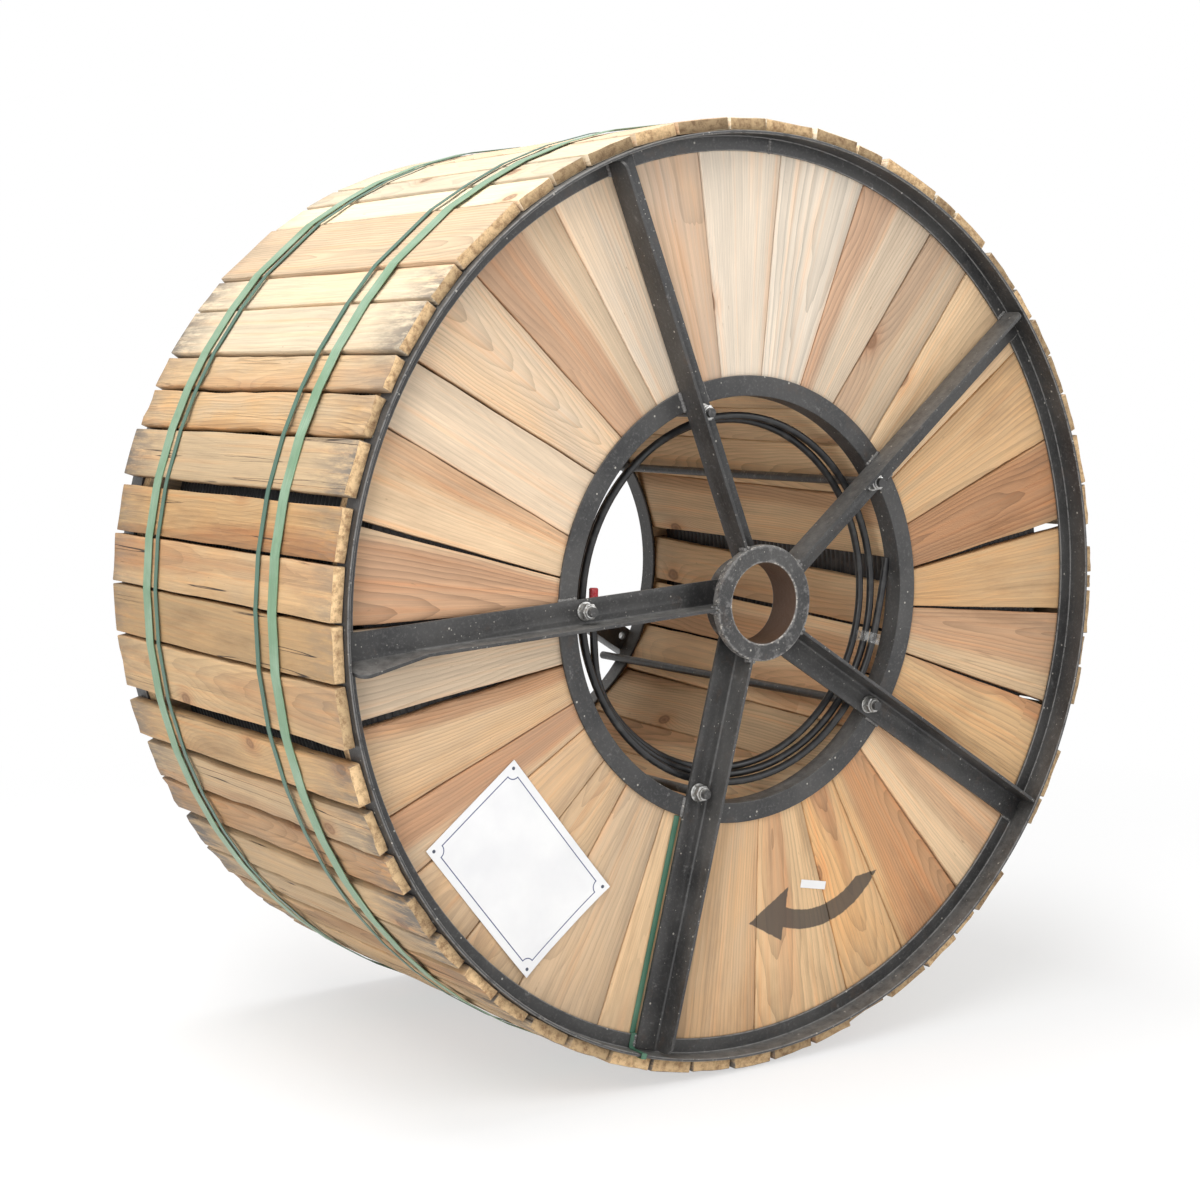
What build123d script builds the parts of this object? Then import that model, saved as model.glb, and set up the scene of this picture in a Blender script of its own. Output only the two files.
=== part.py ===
from build123d import *
import os
from math import atan, cos, degrees, hypot, radians, sin, sqrt, tan

# A returnable cable drum of black steel angle and sawn softwood, wound full and lagged.
# The drum's axle line is the Y axis, the flange that faces the viewer is at minus Y,
# up is plus Z and the origin is on the axle line, half way between the flanges.

# Rims of the two flanges: rolled angle with one leg flat on the boards, one leg outward
rim_radius = 600.0
rim_lip_depth = 30.0
rim_flat_width = 23.0
rim_thickness = 4.0
rim_root_chamfer = 3.0
face_to_face = 610.0

# Inner rings round the barrel's mouth: rolled angle with one leg into the barrel
mouth_radius = 266.0
mouth_flat_width = 26.5
mouth_leg_depth = 30.0
mouth_thickness = 4.0

# Hubs that take the spindle: a short tube behind a thick ring plate
spindle_bore_radius = 52.5
hub_tube_radius = 58.5
hub_plate_thickness = 12.0
hub_radius = 75.5
hub_length = 50.0
hub_proud = 37.5
hub_chamfer = 1.5

# Five spokes of angle in each flange, with the upright leg on the radial line
spoke_count = 5
spoke_turn = 39.7
spoke_leg = 36.0
spoke_thickness = 4.0
spoke_root_radius = 3.0
spoke_corner_radius = 12.0
spoke_end_gap = 0.5

# One spoke of the front flange has its upright leg knocked over at the rim
bent_spoke = 2
bent_length = 95.0
bent_lean = 17.0
bent_corner_radius = 20.0

# Tie rods from flange to flange, with a washer and a locking nut at each end
rod_radius = 6.0
rod_hole_clearance = 0.5
rod_circle_radius = 257.0
rod_gauge = 19.0
rod_end = 5.0
washer_radius = 12.0
washer_thickness = 2.5
nut_across_flats = 19.0
nut_height = 10.0
nut_collar_radius = 8.3
nut_collar_height = 3.5

# Tapered boards of the flanges
board_thickness = 20.0
board_rim_clearance = 1.0
board_mouth_clearance = 0.5

# Joints between the flange boards seen from outside, counter-clockwise: the angle at the
# rim, the angle at the mouth, and the joint's width at the rim and at the mouth
board_joints = [
    (7.8, 4.8, 13.0, 3.0), (20.3, 17.0, 2.0, 1.5), (34.2, 30.5, 2.0, 1.5), (48.5, 43.0, 2.0, 1.0),
    (56.6, 60.5, 2.0, 1.5), (70.2, 72.2, 1.0, 1.0), (84.5, 85.0, 1.0, 1.0), (97.8, 97.8, 1.5, 1.0),
    (109.8, 108.4, 1.5, 1.0), (120.9, 118.8, 1.5, 1.0), (134.7, 131.8, 1.5, 1.0), (147.7, 143.3, 3.5, 2.0),
    (156.0, 161.4, 1.5, 1.0), (167.6, 171.6, 7.0, 1.5), (180.0, 179.3, 6.0, 2.0), (191.4, 193.0, 12.0, 2.0),
    (203.2, 202.8, 2.0, 1.0), (211.3, 210.0, 1.5, 1.0), (222.6, 220.2, 1.5, 1.0), (232.8, 229.6, 2.0, 1.0),
    (246.4, 243.7, 1.0, 1.0), (258.4, 257.6, 1.5, 1.0), (272.0, 275.5, 1.5, 1.0), (288.4, 289.8, 1.0, 1.0),
    (299.3, 301.5, 1.5, 1.0), (311.7, 313.5, 3.0, 1.5), (326.4, 328.0, 1.5, 1.0), (341.8, 342.5, 6.0, 2.0),
    (355.2, 355.0, 7.0, 2.0),
]

# Staves of the barrel, which rest on the inner rings' legs. Joints between them: the angle
# at the front, the angle at the back, and the joint's width at the front and at the back
stave_thickness = 20.0
stave_seat_clearance = 0.3
stave_end_clearance = 0.3
stave_joints = [
    (4.9, 9.5, 38.0, 16.0), (27.2, 30.8, 1.5, 1.5), (45.9, 48.3, 2.0, 2.0), (64.0, 66.0, 1.5, 1.5),
    (81.0, 83.0, 2.0, 2.0), (99.0, 100.5, 1.5, 1.5), (116.0, 117.0, 4.0, 2.0), (133.5, 134.0, 1.5, 1.5),
    (150.0, 151.0, 2.0, 2.0), (168.0, 168.0, 2.0, 6.0), (186.0, 185.0, 1.5, 1.5), (203.0, 202.0, 3.0, 2.0),
    (220.0, 219.0, 1.5, 2.0), (237.0, 236.0, 2.0, 2.0), (254.0, 253.5, 1.5, 1.5), (269.5, 271.5, 2.0, 2.0),
    (284.5, 287.5, 2.0, 1.5), (299.5, 303.3, 1.5, 1.5), (316.5, 322.2, 1.5, 1.5), (334.0, 338.5, 2.0, 2.0),
    (347.3, 353.4, 2.0, 5.0),
]

# The wound cable
cable_diameter = 10.0
winding_margin = 48.0
winding_clearance = 0.5
winding_chamfer = 3.0

# The cable's inner end, coiled inside the tie rods at the barrel's mouth
end_coil_clearance = 0.5
end_coil_width = 34.0
end_coil_height = 26.0
end_coil_depth = 12.0
end_coil_chamfer = 4.0
tail_angle = 179.0
tail_setback = 7.0
tail_length = 26.0
tail_clearance = 0.3
cap_radius = 5.8
cap_length = 22.0
cap_chamfer = 1.2
tie_angle = 344.0
tie_width = 14.0
tie_thickness = 0.6

# Lagging boards on the two rims: first and last angle of each, counter-clockwise
lagging_length = 654.0
lagging_thickness = 18.0
lagging_seat_clearance = 0.3
lagging_joint = 0.8
lagging_shortfalls = (0.0, 3.0, 1.0, 4.0, 2.0, 5.0, 1.5)
lagging_recesses = {13: 4.0, 18: 3.0, 24: 2.0, 31: 2.0, 36: 5.0, 41: 2.0, 45: 12.0, 48: 3.0, 52: 9.0, 54: 4.0}
lagging_spans = [
    (0.7, 4.4), (7.1, 12.8), (12.9, 19.8), (20.3, 25.6), (25.7, 31.4), (31.4, 37.1), (37.3, 42.1),
    (42.1, 48.6), (50.0, 56.4), (56.4, 60.3), (60.5, 69.6), (70.1, 74.4), (74.6, 81.4), (81.4, 89.0),
    (89.0, 94.6), (94.6, 102.3), (102.4, 108.5), (108.7, 115.5), (115.7, 120.6), (121.0, 126.2),
    (126.4, 136.6), (136.7, 141.8), (142.0, 148.6), (148.9, 153.4), (153.6, 158.9), (159.0, 165.4),
    (166.4, 172.6), (172.7, 179.1), (179.2, 185.7), (185.9, 193.0), (194.6, 199.7), (200.4, 206.0),
    (206.1, 211.2), (211.9, 217.7), (217.9, 223.2), (223.4, 229.0), (229.2, 234.8), (235.0, 241.0),
    (241.2, 247.6), (247.8, 254.0), (254.2, 260.4), (260.6, 266.8), (267.0, 273.0), (273.2, 279.6),
    (279.8, 286.2), (286.4, 293.0), (293.2, 300.0), (300.2, 306.2), (306.4, 310.9), (311.0, 317.6),
    (325.1, 329.1), (329.2, 336.2), (336.6, 342.3), (342.5, 347.9), (348.0, 352.1), (352.3, 358.4),
    (358.6, 360.4),
]

# Straps round the lagging
strap_thickness = 0.9
strap_clearance = 0.2
wide_strap_width = 23.0
wide_strap_places = [-180.0, 199.0]
narrow_strap_width = 10.0
narrow_strap_places = [-135.0, 170.0]

# The thin strap that lies beside the lowest spoke and loops over the rim
loop_strap_width = 8.0
loop_strap_thickness = 0.8
loop_strap_clearance = 0.6
loop_strap_gap = 1.0
loop_strap_spoke = 3

# The sheet nailed to the front boards
sheet_height = 224.0
sheet_width = 159.0
sheet_thickness = 1.0
sheet_clearance = 0.3
sheet_margin = 131.7
sheet_angle = 221.75
sheet_turn = 38.4

face = face_to_face / 2
rim_edge = face + rim_lip_depth
board_back = face - rim_thickness - board_thickness
hub_front = face + hub_proud
board_front = face - rim_thickness
stave_radius = mouth_radius + mouth_thickness + stave_seat_clearance
winding_radius = rim_radius - winding_margin
end_coil_outside = rod_circle_radius - rod_radius - end_coil_clearance
end_coil_middle = face - end_coil_depth - end_coil_width / 2
lagging_crown = rim_radius + lagging_seat_clearance + lagging_thickness


def outside_plane(side, height):
    """Plane that faces outward at a height above the middle of the drum, front is minus one."""
    if side < 0:
        return Plane(origin=(0, -height, 0), x_dir=(1, 0, 0), z_dir=(0, -1, 0))
    # The back flange is the same weldment turned round, with its rods in line with the front's
    turn = radians(2 * spoke_turn)
    return Plane(origin=(0, height, 0), x_dir=(cos(turn), 0, sin(turn)), z_dir=(0, 1, 0))


def polar(radius, angle):
    return (radius * cos(radians(angle)), radius * sin(radians(angle)))


def section_plane(side):
    """Plane through the axle line for turned pieces, with its second axis outward."""
    if side < 0:
        return Plane(origin=(0, 0, 0), x_dir=(1, 0, 0), z_dir=(0, 0, -1))
    return Plane(origin=(0, 0, 0), x_dir=(1, 0, 0), z_dir=(0, 0, 1))


def outer_ring(side):
    with BuildPart() as ring:
        with BuildSketch(section_plane(side)):
            with BuildLine():
                Polyline(
                    (rim_radius - rim_flat_width, face - rim_thickness),
                    (rim_radius, face - rim_thickness),
                    (rim_radius, rim_edge),
                    (rim_radius - rim_thickness, rim_edge),
                    (rim_radius - rim_thickness, face + rim_root_chamfer),
                    (rim_radius - rim_thickness - rim_root_chamfer, face),
                    (rim_radius - rim_flat_width, face),
                    close=True,
                )
            make_face()
        revolve(axis=Axis.Y)
    return ring.part


def inner_ring(side):
    with BuildPart() as ring:
        with BuildSketch(section_plane(side)):
            with BuildLine():
                Polyline(
                    (mouth_radius, face),
                    (mouth_radius + mouth_flat_width, face),
                    (mouth_radius + mouth_flat_width, face - mouth_thickness),
                    (mouth_radius + mouth_thickness, face - mouth_thickness),
                    (mouth_radius + mouth_thickness, face - mouth_leg_depth),
                    (mouth_radius, face - mouth_leg_depth),
                    close=True,
                )
            make_face()
        revolve(axis=Axis.Y)
    return ring.part


def hub(side):
    with BuildPart() as ring:
        for radius, length in ((hub_tube_radius, hub_length), (hub_radius, hub_plate_thickness)):
            with BuildSketch(outside_plane(side, hub_front - length)):
                Circle(radius)
            extrude(amount=length)
        with BuildSketch(outside_plane(side, hub_front - hub_length)):
            Circle(spindle_bore_radius)
        extrude(amount=hub_length, mode=Mode.SUBTRACT)
        rims = ring.edges().filter_by(GeomType.CIRCLE)
        chamfer(rims.filter_by(lambda edge: abs(edge.radius - hub_tube_radius) > hub_chamfer), hub_chamfer)
    return ring.part


def spoke_end():
    return rim_radius - rim_thickness - rim_root_chamfer - spoke_end_gap


def spoke_directions(side, index):
    """Start of a spoke on the axle line, its way out and its way across, counter-clockwise."""
    base = outside_plane(side, face)
    turn = spoke_turn + index * 360 / spoke_count
    out = base.from_local_coords(polar(1, turn) + (0,)) - base.origin
    across = base.from_local_coords(polar(1, turn + 90) + (0,)) - base.origin
    return base.origin, out, across


def upright_corner(radius):
    """Side view of what is cut off the outer corner of an upright leg to round it."""
    with Locations((spoke_end() - radius / 2, spoke_leg - radius / 2)):
        Rectangle(radius, radius)
    with Locations((spoke_end() - radius, spoke_leg - radius)):
        Circle(radius, mode=Mode.SUBTRACT)


def bent_upright(side):
    """The end of the knocked spoke's upright leg, which leans further over towards the rim."""
    start, out, across = spoke_directions(side, bent_spoke)
    with BuildPart() as bent:
        for reach, lean in ((spoke_end() - bent_length, 0), (spoke_end(), bent_lean)):
            with BuildSketch(Plane(origin=start + out * reach, x_dir=across, z_dir=out)):
                with BuildLine():
                    Polyline(
                        (-spoke_thickness / 2, 0),
                        (spoke_thickness / 2, 0),
                        (spoke_thickness / 2 + lean, spoke_leg),
                        (-spoke_thickness / 2 + lean, spoke_leg),
                        close=True,
                    )
                make_face()
        loft(ruled=True)
        with BuildSketch(Plane(origin=start, x_dir=out, z_dir=-across)):
            upright_corner(bent_corner_radius)
        extrude(amount=spoke_leg, both=True, mode=Mode.SUBTRACT)
    return bent.part


def spokes(side):
    bent = bent_upright(side)
    half = spoke_thickness / 2
    with BuildPart() as frame:
        for index in range(spoke_count):
            start, out, across = spoke_directions(side, index)
            knocked = side < 0 and index == bent_spoke
            with BuildSketch(Plane(origin=start, x_dir=across, z_dir=out)) as section:
                with Locations((half - spoke_leg / 2, half)):
                    Rectangle(spoke_leg, spoke_thickness)
                with Locations((0, spoke_leg / 2)):
                    Rectangle(spoke_thickness, spoke_leg)
                fillet(
                    section.vertices().filter_by(lambda v: hypot(v.X + half, v.Y - spoke_thickness) < 0.01),
                    spoke_root_radius,
                )
            extrude(amount=spoke_end() - (bent_length if knocked else 0))
            if knocked:
                with BuildSketch(Plane(origin=start, x_dir=across, z_dir=out)):
                    with Locations((half - spoke_leg / 2, half)):
                        Rectangle(spoke_leg, spoke_thickness)
                extrude(amount=spoke_end())
                add(bent)
            else:
                with BuildSketch(Plane(origin=start, x_dir=out, z_dir=-across)):
                    upright_corner(spoke_corner_radius)
                extrude(amount=spoke_thickness, both=True, mode=Mode.SUBTRACT)
        with BuildSketch(outside_plane(side, face)):
            Circle(spoke_end())
            Circle(hub_tube_radius, mode=Mode.SUBTRACT)
        extrude(amount=spoke_leg, mode=Mode.INTERSECT)
        with BuildSketch(outside_plane(side, hub_front - hub_plate_thickness)):
            Circle(hub_radius)
        extrude(amount=hub_plate_thickness, mode=Mode.SUBTRACT)
        with BuildSketch(outside_plane(side, face)):
            with Locations(*rod_places()):
                Circle(rod_radius + rod_hole_clearance)
        extrude(amount=spoke_thickness, mode=Mode.SUBTRACT)
    return frame.part


def rod_places():
    """Middles of the tie rods in a flange's own plane."""
    lean = degrees(atan(rod_gauge / sqrt(rod_circle_radius**2 - rod_gauge**2)))
    return [
        polar(rod_circle_radius, spoke_turn - lean + index * 360 / spoke_count) for index in range(spoke_count)
    ]


def flange_boards(side):
    rim_side = rim_radius - board_rim_clearance
    mouth_side = mouth_radius + mouth_thickness + board_mouth_clearance
    with BuildPart() as boards:
        with BuildSketch(outside_plane(side, board_back)):
            for index, start in enumerate(board_joints):
                end = board_joints[(index + 1) % len(board_joints)]
                lap = 360 if index + 1 == len(board_joints) else 0
                corners = []
                for joint, way, extra in ((start, 1, 0), (end, -1, lap)):
                    at_rim = joint[0] + extra + way * degrees(joint[2] / 2 / rim_side)
                    at_mouth = joint[1] + extra + way * degrees(joint[3] / 2 / mouth_side)
                    outer, inner = polar(rim_side, at_rim), polar(mouth_side, at_mouth)
                    run = [(outer[k] - inner[k]) * 0.08 for k in (0, 1)]
                    corners.append([(inner[0] - run[0], inner[1] - run[1]), (outer[0] + run[0], outer[1] + run[1])])
                with BuildLine():
                    Polyline(corners[0][0], corners[0][1], corners[1][1], corners[1][0], close=True)
                make_face()
            Circle(rim_side, mode=Mode.INTERSECT)
            Circle(mouth_side, mode=Mode.SUBTRACT)
        extrude(amount=board_thickness)
    return boards.part


def stave_outlines():
    """Each stave's middle angle and its four corners in the plane of its inner face."""
    reach = board_back - stave_end_clearance
    outlines = []
    for index, start in enumerate(stave_joints):
        end = stave_joints[(index + 1) % len(stave_joints)]
        lap = 360 if index + 1 == len(stave_joints) else 0
        middle = (start[0] + start[1] + end[0] + end[1]) / 4 + lap / 2
        corners = []
        for which, along in ((0, reach), (1, -reach)):
            first = stave_radius * tan(radians(start[which] - middle)) + start[which + 2] / 2
            last = stave_radius * tan(radians(end[which] + lap - middle)) - end[which + 2] / 2
            corners.append([(first, along), (last, along)])
        outlines.append((middle, corners[0] + corners[1][::-1]))
    return outlines


def staves():
    with BuildPart() as barrel:
        for middle, corners in stave_outlines():
            across, out = polar(1, middle + 90), polar(1, middle)
            seat = (stave_radius * out[0], 0, stave_radius * out[1])
            with BuildSketch(Plane(origin=seat, x_dir=(across[0], 0, across[1]), z_dir=(out[0], 0, out[1]))):
                with BuildLine():
                    Polyline(*corners, close=True)
                make_face()
            extrude(amount=stave_thickness)
    return barrel.part


def winding():
    half = board_back - winding_clearance
    widest = max(abs(corner[0]) for _, corners in stave_outlines() for corner in corners)
    bore = hypot(stave_radius + stave_thickness, widest) + winding_clearance
    with BuildPart() as cable:
        with BuildSketch(Plane.XZ.offset(-half)):
            Circle(winding_radius)
            Circle(bore, mode=Mode.SUBTRACT)
        extrude(amount=2 * half)
        chamfer(cable.edges().filter_by(GeomType.CIRCLE).sort_by(SortBy.RADIUS)[-2:], winding_chamfer)
    return cable.part


def end_coil():
    with BuildPart() as coil:
        with BuildSketch(section_plane(-1)) as section:
            with Locations((end_coil_outside - end_coil_height / 2, end_coil_middle)):
                Rectangle(end_coil_height, end_coil_width)
            chamfer(section.vertices(), end_coil_chamfer)
        revolve(axis=Axis.Y)
    return coil.part


def coil_tie():
    out = polar(1, tie_angle)
    middle = end_coil_outside - end_coil_height / 2
    across = polar(1, tie_angle + 90)
    start = (middle * out[0] - across[0] * tie_width / 2, -end_coil_middle, middle * out[1] - across[1] * tie_width / 2)
    slack = 2 * end_coil_clearance
    with BuildPart() as band:
        with BuildSketch(Plane(origin=start, x_dir=(out[0], 0, out[1]), z_dir=(across[0], 0, across[1]))):
            wide = end_coil_height + slack, end_coil_width + slack
            RectangleRounded(wide[0] + 2 * tie_thickness, wide[1] + 2 * tie_thickness, end_coil_chamfer)
            RectangleRounded(wide[0], wide[1], end_coil_chamfer - tie_thickness, mode=Mode.SUBTRACT)
        extrude(amount=tie_width)
    return band.part


def tail_plane():
    """Plane across the cable's last straight, at the foot of the cap."""
    out, across = polar(1, tail_angle), polar(1, tail_angle - 90)
    room = end_coil_outside - end_coil_height - tail_clearance
    inside = sqrt((room - cap_radius) ** 2 - cap_length**2)
    origin = (inside * out[0], tail_setback - end_coil_middle, inside * out[1])
    return Plane(origin=origin, x_dir=(0, 1, 0), z_dir=(across[0], 0, across[1]))


def cable_tail():
    with BuildPart() as tail:
        with BuildSketch(tail_plane().offset(-tail_length)):
            Circle(cable_diameter / 2)
        extrude(amount=tail_length)
    return tail.part


def end_cap():
    with BuildPart() as cap:
        with BuildSketch(tail_plane()):
            Circle(cap_radius)
        extrude(amount=cap_length)
        chamfer(cap.edges().sort_by(Axis.Z)[-1], cap_chamfer)
    return cap.part


def tie_rods():
    reach = face + spoke_thickness + washer_thickness + nut_height + nut_collar_height + rod_end
    with BuildPart() as rods:
        with BuildSketch(outside_plane(-1, -reach)):
            with Locations(*rod_places()):
                Circle(rod_radius)
        extrude(amount=2 * reach)
    return rods.part


def washers():
    with BuildPart() as rounds:
        for side in (-1, 1):
            with BuildSketch(outside_plane(side, face + spoke_thickness)):
                with Locations(*rod_places()):
                    Circle(washer_radius)
                    Circle(rod_radius + rod_hole_clearance, mode=Mode.SUBTRACT)
            extrude(amount=washer_thickness)
    return rounds.part


def nuts():
    seat = face + spoke_thickness + washer_thickness
    with BuildPart() as locking:
        for side in (-1, 1):
            with BuildSketch(outside_plane(side, seat)):
                with Locations(*rod_places()):
                    RegularPolygon(nut_across_flats / 2, 6, major_radius=False)
                    Circle(rod_radius, mode=Mode.SUBTRACT)
            extrude(amount=nut_height)
            with BuildSketch(outside_plane(side, seat + nut_height)):
                with Locations(*rod_places()):
                    Circle(nut_collar_radius)
                    Circle(rod_radius, mode=Mode.SUBTRACT)
            extrude(amount=nut_collar_height)
    return locking.part


def lagging():
    with BuildPart() as boards:
        for index, (first, last) in enumerate(lagging_spans):
            middle = (first + last) / 2
            # The inner face rests on the rims, so its width is the chord at the rim
            width = 2 * rim_radius * tan(radians(last - first) / 2) - lagging_joint
            shortfall = lagging_shortfalls[index % len(lagging_shortfalls)]
            run = lagging_length - shortfall - lagging_recesses.get(index, 0)
            with BuildSketch(Plane.XZ.offset(shortfall - lagging_length / 2)):
                with Locations(Location(polar(lagging_crown - lagging_thickness / 2, middle), middle)):
                    Rectangle(lagging_thickness, width)
            extrude(amount=run)
    return boards.part


def strap_bands(places, width):
    with BuildPart() as bands:
        for place in places:
            with BuildSketch(Plane.XZ.offset(-place - width / 2)) as loop:
                with BuildLine() as corners:
                    for first, last in lagging_spans:
                        half = rim_radius * tan(radians(last - first) / 2) - lagging_joint / 2
                        middle = (first + last) / 2
                        reach, lean = hypot(lagging_crown, half), degrees(atan(half / lagging_crown))
                        Line(polar(reach, middle - lean), polar(reach, middle + lean))
                make_hull()
                offset(amount=strap_clearance, kind=Kind.INTERSECTION)
                inside = loop.sketch_local
                offset(amount=strap_thickness, kind=Kind.INTERSECTION)
                add(inside, mode=Mode.SUBTRACT)
            extrude(amount=width)
    return bands.part


def loop_strap():
    turn = spoke_turn + loop_strap_spoke * 360 / spoke_count
    out, across = polar(1, turn), polar(1, turn + 90)
    near = spoke_leg - spoke_thickness / 2 + loop_strap_gap
    far = near + loop_strap_width
    gap, thick = loop_strap_clearance, loop_strap_thickness
    ring_edge = sqrt((mouth_radius + mouth_flat_width) ** 2 - near**2) + gap
    flat_edge = sqrt((rim_radius - rim_flat_width) ** 2 - far**2) - gap
    lip_inside = sqrt((rim_radius - rim_thickness) ** 2 - far**2) - gap
    lip_outside = sqrt(rim_radius**2 - near**2) + gap
    root = lip_inside - rim_root_chamfer
    with BuildPart() as band:
        start = (-across[0] * near, 0, -across[1] * near)
        with BuildSketch(Plane(origin=start, x_dir=(out[0], 0, out[1]), z_dir=(-across[0], 0, -across[1]))):
            with BuildLine():
                Polyline(
                    (ring_edge, board_front + gap),
                    (flat_edge, board_front + gap),
                    (flat_edge, face + gap),
                    (root, face + gap),
                    (lip_inside, face + rim_root_chamfer + gap),
                    (lip_inside, rim_edge + gap),
                    (lip_outside, rim_edge + gap),
                    (lip_outside, lagging_length / 2 + gap),
                    (lip_outside + thick, lagging_length / 2 + gap),
                    (lip_outside + thick, rim_edge + gap + thick),
                    (lip_inside - thick, rim_edge + gap + thick),
                    (lip_inside - thick, face + rim_root_chamfer + gap + thick / 2),
                    (root - thick / 2, face + gap + thick),
                    (flat_edge - thick, face + gap + thick),
                    (flat_edge - thick, board_front + gap + thick),
                    (ring_edge, board_front + gap + thick),
                    close=True,
                )
            make_face()
        extrude(amount=loop_strap_width)
    return band.part


def placard():
    with BuildPart() as sheet:
        with BuildSketch(outside_plane(-1, board_front + sheet_clearance)):
            with Locations(Location(polar(rim_radius - sheet_margin, sheet_angle), sheet_turn)):
                Rectangle(sheet_width, sheet_height)
        extrude(amount=sheet_thickness)
    return sheet.part


def save(shape, name):
    shape.label = name
    export_step(shape, "parts/" + name + ".step")


os.makedirs("parts", exist_ok=True)
for side, name in ((-1, "front"), (1, "back")):
    save(outer_ring(side), name + "_outer_ring")
    save(inner_ring(side), name + "_inner_ring")
    save(hub(side), name + "_hub")
    save(spokes(side), name + "_spokes")
    save(flange_boards(side), name + "_flange_boards")
save(staves(), "barrel_staves")
save(tie_rods(), "tie_rods")
save(washers(), "tie_rod_washers")
save(nuts(), "tie_rod_nuts")
save(winding(), "cable_winding")
save(end_coil(), "cable_end_coil")
save(cable_tail(), "cable_tail")
save(end_cap(), "cable_end_cap")
save(coil_tie(), "coil_tie")
save(lagging(), "lagging_boards")
save(strap_bands(wide_strap_places, wide_strap_width), "wide_straps")
save(strap_bands(narrow_strap_places, narrow_strap_width), "narrow_straps")
save(loop_strap(), "loop_strap")
save(placard(), "placard")
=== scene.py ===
import random
from math import cos, pi, radians, sin

import bpy
import numpy as np
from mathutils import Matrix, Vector


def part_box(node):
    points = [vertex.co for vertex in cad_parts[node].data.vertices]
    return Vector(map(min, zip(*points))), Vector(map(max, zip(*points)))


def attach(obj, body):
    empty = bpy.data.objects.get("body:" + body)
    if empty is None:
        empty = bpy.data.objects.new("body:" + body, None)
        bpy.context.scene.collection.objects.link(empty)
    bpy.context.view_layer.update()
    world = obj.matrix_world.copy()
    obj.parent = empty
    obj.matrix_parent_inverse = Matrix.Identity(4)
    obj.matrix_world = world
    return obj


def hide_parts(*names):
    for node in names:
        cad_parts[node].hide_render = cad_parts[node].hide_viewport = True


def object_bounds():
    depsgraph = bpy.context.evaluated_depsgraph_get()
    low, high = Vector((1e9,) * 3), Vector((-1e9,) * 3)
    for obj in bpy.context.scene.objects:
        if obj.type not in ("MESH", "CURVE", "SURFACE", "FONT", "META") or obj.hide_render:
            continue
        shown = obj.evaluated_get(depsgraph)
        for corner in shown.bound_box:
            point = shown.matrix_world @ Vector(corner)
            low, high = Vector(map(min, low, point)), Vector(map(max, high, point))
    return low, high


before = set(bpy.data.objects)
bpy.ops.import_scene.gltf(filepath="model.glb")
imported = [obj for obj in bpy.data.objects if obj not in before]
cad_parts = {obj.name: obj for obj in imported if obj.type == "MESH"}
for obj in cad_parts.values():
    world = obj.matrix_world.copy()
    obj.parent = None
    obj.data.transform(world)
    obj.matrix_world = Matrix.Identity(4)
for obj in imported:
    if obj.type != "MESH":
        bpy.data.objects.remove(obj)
cad_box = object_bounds()
front_side, back_side = -1, 1

# Camera. It stands to the left of the front flange, a little above the axle line, and
# looks slightly down.
def new_object(name, data):
    piece = bpy.data.objects.new(name, data)
    bpy.context.scene.collection.objects.link(piece)
    return piece


camera_data = bpy.data.cameras.new("camera")
camera = new_object("camera", camera_data)
camera.location = (-1.7629, -2.553, 0.2936)
camera_turn, camera_tilt = radians(34.26), radians(-5.86)
looking = Vector((
    sin(camera_turn) * cos(camera_tilt), cos(camera_turn) * cos(camera_tilt), sin(camera_tilt)
))
camera.rotation_euler = looking.to_track_quat("-Z", "Y").to_euler()
camera_data.sensor_width = 36.0
camera_data.lens = 65.97
camera_data.clip_end = 60.0
bpy.context.scene.camera = camera


# The cable's inner end. About two and a half turns of 10 mm black sheathed cable lie
# loose at the barrel's mouth. They come in through the open joint between two staves and
# end on the left under a red sealing cap.
cable_diameter = 0.010


def feed(tree, socket, value):
    """A number, a colour or a link for an input."""
    if isinstance(value, bpy.types.NodeSocket):
        tree.links.new(value, socket)
    else:
        socket.default_value = value


def add_node(tree, kind, values=(), **settings):
    """A shader node with its settings, and with numbers or links for its inputs."""
    node = tree.nodes.new("ShaderNode" + kind)
    for key, value in settings.items():
        setattr(node, key, value)
    for key, value in dict(values).items():
        feed(tree, node.inputs[key], value)
    return node


def new_material(name):
    """A material with an empty tree but for the shader and the output."""
    material = bpy.data.materials.new(name)
    material.use_nodes = True
    tree = material.node_tree
    tree.nodes.clear()
    shader = add_node(tree, "BsdfPrincipled")
    output = add_node(tree, "OutputMaterial", {"Surface": shader.outputs["BSDF"]})
    output.location = (300, 0)
    return material, tree, shader


def scaled(tree, vector, factors):
    return add_node(tree, "VectorMath", {0: vector, 1: factors}, operation="MULTIPLY").outputs[0]


def maths(tree, operation, *values):
    """One Math node on one, two or three numbers or links."""
    return add_node(tree, "Math", dict(enumerate(values)), operation=operation).outputs[0]


def noise(tree, vector, scale, detail, roughness=0.5):
    """Noise from 0 to 1, about a half in the middle."""
    values = {"Vector": vector, "Scale": scale, "Detail": detail, "Roughness": roughness}
    return add_node(tree, "TexNoise", values).outputs["Fac"]


def object_place(tree):
    return add_node(tree, "TexCoord").outputs["Object"]


def surface(tree, shader, colour, roughness):
    feed(tree, shader.inputs["Base Color"], colour)
    feed(tree, shader.inputs["Roughness"], roughness)


def raise_bump(tree, shader, height, strength, distance):
    """Bump on a shader; the distance is the relief of a height of one, in metres."""
    bump = add_node(tree, "Bump", {"Height": height, "Strength": strength, "Distance": distance})
    tree.links.new(bump.outputs["Normal"], shader.inputs["Normal"])


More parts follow.
